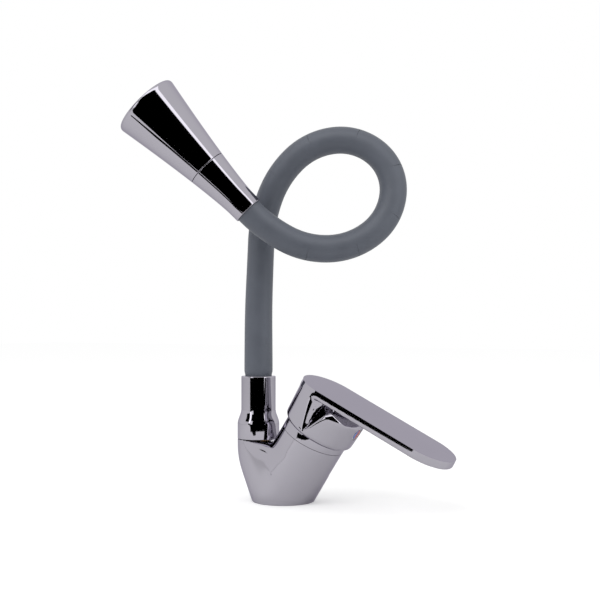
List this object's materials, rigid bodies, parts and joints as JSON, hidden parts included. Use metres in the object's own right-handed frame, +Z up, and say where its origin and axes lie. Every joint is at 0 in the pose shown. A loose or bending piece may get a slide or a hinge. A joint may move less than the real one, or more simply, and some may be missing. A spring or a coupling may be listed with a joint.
{
  "type": "flexible kitchen faucet",
  "caption": "Single-lever kitchen faucet with a V-shaped chrome body and a bendable grey silicone spout that loops to a cone-shaped spray head.",
  "frame": {"origin": "centre of the round base where it meets the deck", "axes": "+Z up, along the spout's swivel axis; +X towards the tip of the lever"},
  "size_m": [0.2259, 0.1338, 0.3068],
  "materials": {
    "chrome": "polished",
    "brass": "satin",
    "steel": "satin",
    "silicone": "matte",
    "rubber": "matte",
    "ceramic": "satin",
    "white_plastic": "satin",
    "grey_plastic": "satin",
    "red_plastic": "gloss",
    "blue_plastic": "gloss"
  },
  "bodies": {
    "base": {"body_casting": "chrome", "base_gasket": "rubber", "cartridge_seal": "rubber", "cartridge_base": "white_plastic", "fixed_disc": "ceramic", "cartridge_housing": "white_plastic", "cartridge_nut": "brass", "shroud_ring": "chrome"},
    "cartridge_rotor": {"rotor": "grey_plastic", "pivot_pin": "steel"},
    "sliding_disc": {"moving_disc": "ceramic", "disc_carrier": "grey_plastic"},
    "lever": {"stem": "brass", "handle": "chrome", "grub_screw": "steel", "indicator_plug": "white_plastic", "indicator_red": "red_plastic", "indicator_blue": "blue_plastic"},
    "spout_foot": {"spout_collar": "chrome", "glide_ring": "white_plastic", "spout_nipple": "brass", "nipple_seal_upper": "rubber", "nipple_seal_lower": "rubber", "spout_circlip": "steel", "ferrule_lower": "steel", "sleeve_link_01": "silicone", "core_link_01": "steel"},
    "spout_02": {"sleeve_link_02": "silicone", "core_link_02": "steel"},
    "spout_03": {"sleeve_link_03": "silicone", "core_link_03": "steel"},
    "spout_04": {"sleeve_link_04": "silicone", "core_link_04": "steel"},
    "spout_05": {"sleeve_link_05": "silicone", "core_link_05": "steel"},
    "spout_06": {"sleeve_link_06": "silicone", "core_link_06": "steel"},
    "spout_07": {"sleeve_link_07": "silicone", "core_link_07": "steel"},
    "spout_08": {"sleeve_link_08": "silicone", "core_link_08": "steel"},
    "spout_09": {"sleeve_link_09": "silicone", "core_link_09": "steel"},
    "spout_10": {"sleeve_link_10": "silicone", "core_link_10": "steel"},
    "spout_11": {"sleeve_link_11": "silicone", "core_link_11": "steel"},
    "head": {"sleeve_link_12": "silicone", "core_link_12": "steel", "ferrule_upper": "steel", "head_nipple": "brass", "head_washer": "rubber", "head_neck": "chrome", "waterway": "white_plastic"},
    "head_front": {"head_shell": "chrome", "selector_disc": "grey_plastic", "aerator_housing": "white_plastic", "aerator_insert": "white_plastic", "nozzle_plate": "grey_plastic"}
  },
  "joints": [
    {"name": "handle_turn", "type": "hinge", "parent": "base", "child": "cartridge_rotor", "pos_m": [-0.006, 0, 0], "axis": [0.5505, 0, 0.8348], "range_deg": [-50, 50]},
    {"name": "handle_lift", "type": "hinge", "parent": "cartridge_rotor", "child": "lever", "pos_m": [0.0257, 0, 0.0481], "axis": [0, -1, 0], "range_deg": [0, 25]},
    {"name": "disc_slide", "type": "slide", "parent": "cartridge_rotor", "child": "sliding_disc", "axis": [0.8348, 0, -0.5505], "range_m": [0, 0.0047]},
    {"name": "spout_swivel", "type": "hinge", "parent": "base", "child": "spout_foot", "pos_m": [-0.022, 0, 0], "axis": [0, 0, 1], "continuous": true},
    {"name": "flex_01", "type": "hinge", "parent": "spout_foot", "child": "spout_02", "pos_m": [-0.022, 0, 0.1262], "axis": [-0.5, 0.866, 0], "range_deg": [-15, 15]},
    {"name": "flex_02", "type": "hinge", "parent": "spout_02", "child": "spout_03", "pos_m": [-0.021, -0.0004, 0.1601], "axis": [-0.5, 0.866, 0], "range_deg": [-15, 12]},
    {"name": "flex_03", "type": "hinge", "parent": "spout_03", "child": "spout_04", "pos_m": [-0.0186, -0.0016, 0.1939], "axis": [-0.5, 0.866, 0], "range_deg": [-9, 8]},
    {"name": "flex_04", "type": "hinge", "parent": "spout_04", "child": "spout_05", "pos_m": [-0.011, -0.0015, 0.2268], "axis": [-0.5, 0.866, 0], "range_deg": [-22, 8]},
    {"name": "flex_05", "type": "hinge", "parent": "spout_05", "child": "spout_06", "pos_m": [0.0071, 0.0035, 0.2547], "axis": [-0.5, 0.866, 0], "range_deg": [-33, 6]},
    {"name": "flex_06", "type": "hinge", "parent": "spout_06", "child": "spout_07", "pos_m": [0.0357, 0.0139, 0.2681], "axis": [-0.5, 0.866, 0], "range_deg": [-43, 5]},
    {"name": "flex_07", "type": "hinge", "parent": "spout_07", "child": "spout_08", "pos_m": [0.0652, 0.0245, 0.2578], "axis": [-0.5, 0.866, 0], "range_deg": [-50, 5]},
    {"name": "flex_08", "type": "hinge", "parent": "spout_08", "child": "spout_09", "pos_m": [0.0782, 0.0258, 0.2277], "axis": [-0.5, 0.866, 0], "range_deg": [-49, 5]},
    {"name": "flex_09", "type": "hinge", "parent": "spout_09", "child": "spout_10", "pos_m": [0.0676, 0.0142, 0.1987], "axis": [-0.5, 0.866, 0], "range_deg": [-41, 5]},
    {"name": "flex_10", "type": "hinge", "parent": "spout_10", "child": "spout_11", "pos_m": [0.0428, -0.0043, 0.1862], "axis": [-0.5, 0.866, 0], "range_deg": [-34, 6]},
    {"name": "flex_11", "type": "hinge", "parent": "spout_11", "child": "head", "pos_m": [0.0157, -0.0226, 0.1931], "axis": [-0.5, 0.866, 0], "range_deg": [-25, 8]},
    {"name": "spray_selector", "type": "hinge", "parent": "head", "child": "head_front", "pos_m": [-0.0073, -0.0368, 0.2134], "axis": [-0.6038, -0.3486, 0.7169], "range_deg": [0, 90]}
  ],
  "couplings": [
    {"joint": "disc_slide", "follows": "handle_lift", "m_per_rad": 0.01066}
  ]
}
